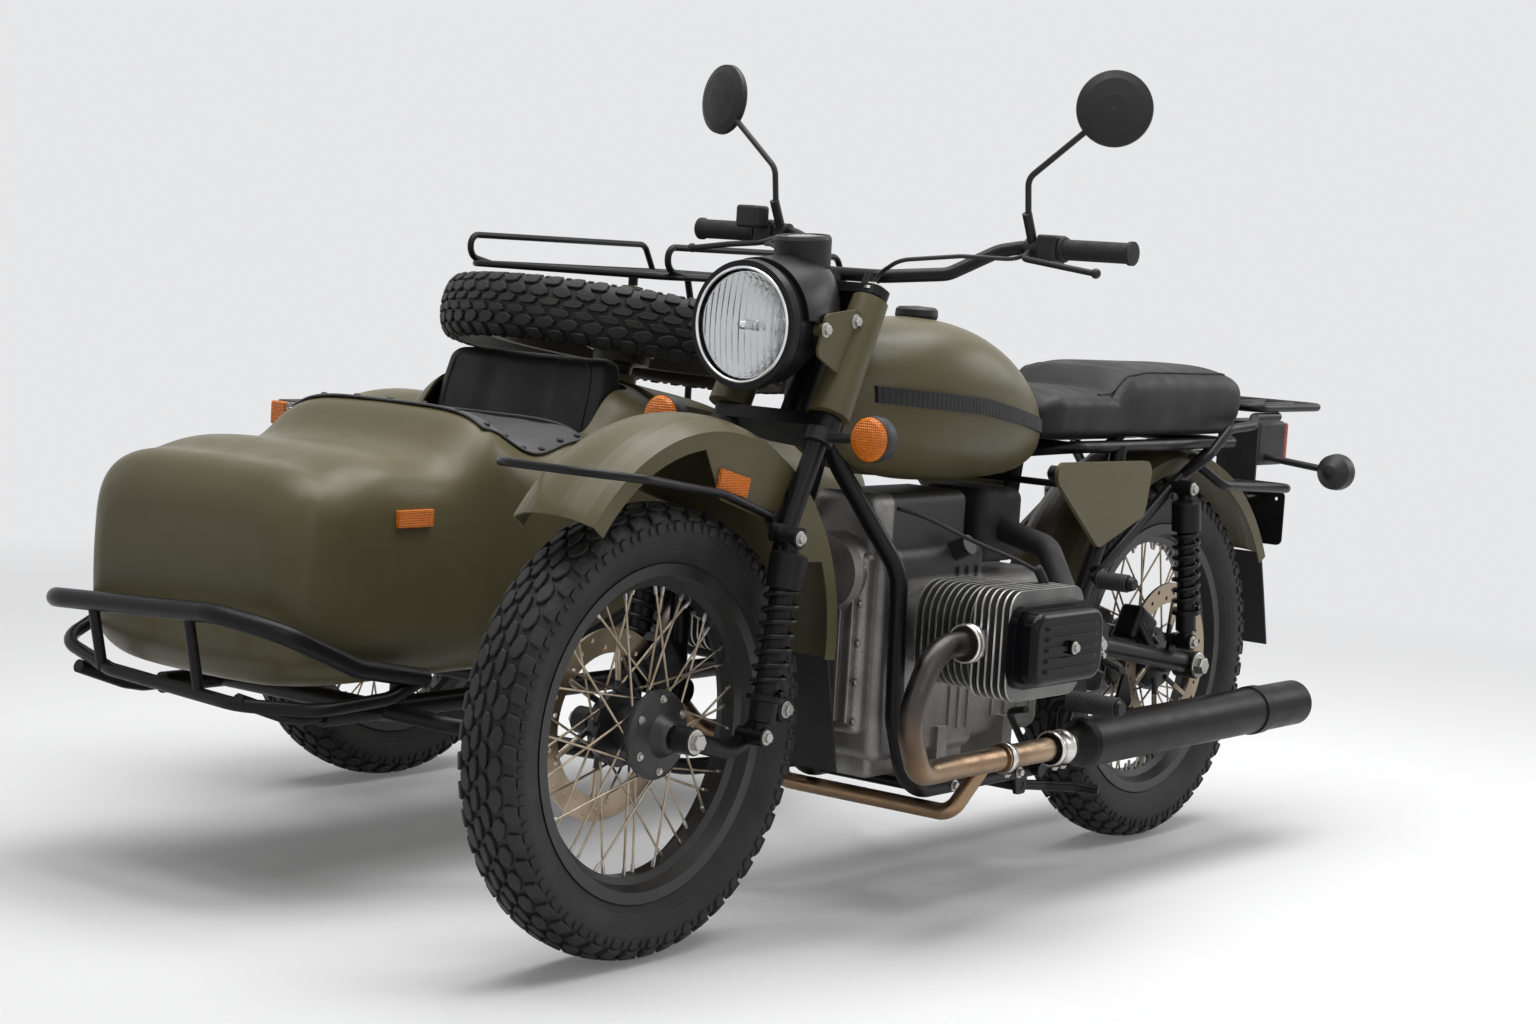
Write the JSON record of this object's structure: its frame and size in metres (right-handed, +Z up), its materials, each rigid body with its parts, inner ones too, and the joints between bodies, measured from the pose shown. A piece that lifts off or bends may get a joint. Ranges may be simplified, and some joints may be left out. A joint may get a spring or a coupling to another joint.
{
  "type": "sidecar motorcycle",
  "caption": "Sidecar motorcycle with leading-link fork, boxer engine, wire wheels, boat-shaped sidecar with trunk, spare wheel and racks.",
  "frame": {"origin": "on the ground under the middle of the whole vehicle's bounding box", "axes": "-Y forwards, +X to the rider's left, +Z up; the sidecar is at -X"},
  "size_m": [1.7666, 2.2855, 1.3801],
  "materials": {
    "olive_paint": "satin",
    "black_paint": "satin",
    "cast_metal": "cast",
    "finned_metal": "cast",
    "hot_steel": "heat tinted",
    "muffler_black": "satin",
    "wheel_steel": "satin",
    "black_rubber": "matte",
    "tyre_rubber": "matte",
    "black_vinyl": "grained",
    "dark_canvas": "woven",
    "black_plastic": "matte",
    "lamp_glass": "ribbed",
    "orange_lens": "ribbed",
    "red_lens": "ribbed",
    "bright_chrome": "polished"
  },
  "bodies": {
    "chassis": {"main_frame": "black_paint", "engine_case": "cast_metal", "cylinders": "finned_metal", "valve_covers": "black_paint", "intake_system": "black_rubber", "exhaust_headers": "hot_steel", "mufflers": "muffler_black", "fuel_tank": "olive_paint", "tank_rubbers": "black_rubber", "fuel_cap": "bright_chrome", "dual_seat": "black_vinyl", "side_covers": "olive_paint", "rear_fender": "olive_paint", "rear_mud_flap": "black_rubber", "rear_rack": "black_paint", "tail_lamp": "black_plastic", "tail_lens": "red_lens", "orange_lenses": "orange_lens", "plate_bracket": "black_paint", "swing_arm": "black_paint", "rear_shocks": "black_paint", "foot_controls": "black_paint", "sidecar_chassis": "black_paint", "sidecar_body": "olive_paint", "sidecar_cushion": "black_vinyl", "sidecar_backrest": "black_vinyl", "tonneau_cover": "dark_canvas", "sidecar_bumper": "black_paint", "sidecar_fender": "olive_paint", "marker_lamp": "black_plastic", "marker_lens_clear": "lamp_glass"},
    "steering": {"fork": "black_paint", "fork_shocks": "black_paint", "fork_covers": "olive_paint", "front_fender": "olive_paint", "fender_guard": "black_paint", "front_mud_flap": "black_rubber", "headlamp_bucket": "olive_paint", "headlamp_glass": "lamp_glass", "headlamp_cowl": "olive_paint", "instrument_pod": "black_plastic", "handlebar": "black_paint", "grips": "black_rubber", "hand_controls": "black_plastic", "mirrors": "black_plastic", "front_signals": "black_plastic", "front_orange_lenses": "orange_lens"},
    "front_wheel": {"front_tyre": "tyre_rubber", "front_wheel": "wheel_steel"},
    "rear_wheel": {"rear_tyre": "tyre_rubber", "rear_wheel": "wheel_steel"},
    "sidecar_wheel": {"sidecar_tyre": "tyre_rubber", "sidecar_wheel": "wheel_steel"},
    "trunk_lid": {"trunk_lid": "olive_paint", "spare_tyre": "tyre_rubber", "spare_wheel": "wheel_steel", "luggage_rack": "black_paint"},
    "centre_stand": {"centre_stand": "black_paint"}
  },
  "joints": [
    {"name": "steering", "type": "hinge", "parent": "chassis", "child": "steering", "pos_m": [0.4426, -0.4592, 0.8], "axis": [0, 0.454, 0.891], "range_deg": [-30, 30]},
    {"name": "front_wheel_spin", "type": "hinge", "parent": "steering", "child": "front_wheel", "pos_m": [0.4426, -0.7992, 0.345], "axis": [1, 0, 0], "continuous": true},
    {"name": "rear_wheel_spin", "type": "hinge", "parent": "chassis", "child": "rear_wheel", "pos_m": [0.4426, 0.6708, 0.345], "axis": [1, 0, 0], "continuous": true},
    {"name": "sidecar_wheel_spin", "type": "hinge", "parent": "chassis", "child": "sidecar_wheel", "pos_m": [-0.7974, -0.0792, 0.345], "axis": [1, 0, 0], "continuous": true},
    {"name": "trunk_lid_hinge", "type": "hinge", "parent": "chassis", "child": "trunk_lid", "pos_m": [-0.3074, 0.4498, 0.70882], "axis": [-1, 0, 0], "range_deg": [0, 75]},
    {"name": "centre_stand_hinge", "type": "hinge", "parent": "chassis", "child": "centre_stand", "pos_m": [0.4426, 0.1308, 0.172], "axis": [-1, 0, 0], "range_deg": [0, 90]}
  ]
}
